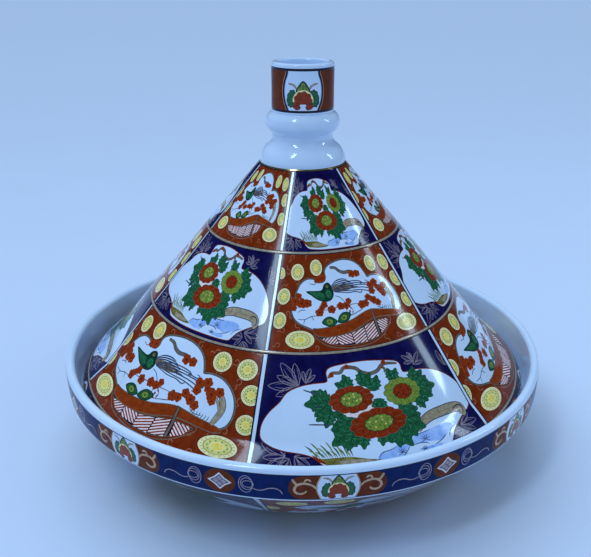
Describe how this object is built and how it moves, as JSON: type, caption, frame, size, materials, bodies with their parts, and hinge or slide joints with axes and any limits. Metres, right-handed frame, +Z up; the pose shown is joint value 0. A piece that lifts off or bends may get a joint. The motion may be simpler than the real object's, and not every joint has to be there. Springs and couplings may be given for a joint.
{
  "type": "tagine pot",
  "caption": "Wide shallow porcelain serving dish on a foot ring, with a tall conical lift-off lid whose knob ends in an open cup.",
  "frame": {"origin": "centre of the foot ring's resting face, on the table", "axes": "+Z up along the common axis of dish and lid; -Y towards the viewer, in the middle of the front of the pot; +X to the viewer's right"},
  "size_m": [0.32, 0.32, 0.2499],
  "materials": {
    "white_glaze": "gloss white porcelain glaze",
    "decorated_glaze": "gloss glaze with iron red, cobalt and green enamels and gold lines",
    "foot_bisque": "matt unglazed porcelain"
  },
  "bodies": {
    "dish": {"dish_bowl": "white_glaze", "dish_rim": "decorated_glaze", "dish_foot_ring": "foot_bisque"},
    "lid": {"lid_cone": "decorated_glaze", "knob_stem": "white_glaze", "knob_cup": "decorated_glaze"}
  },
  "joints": [
    {"name": "lid_lift", "type": "slide", "parent": "dish", "child": "lid", "axis": [0, 0, 1], "range_m": [0, 0.12]}
  ]
}
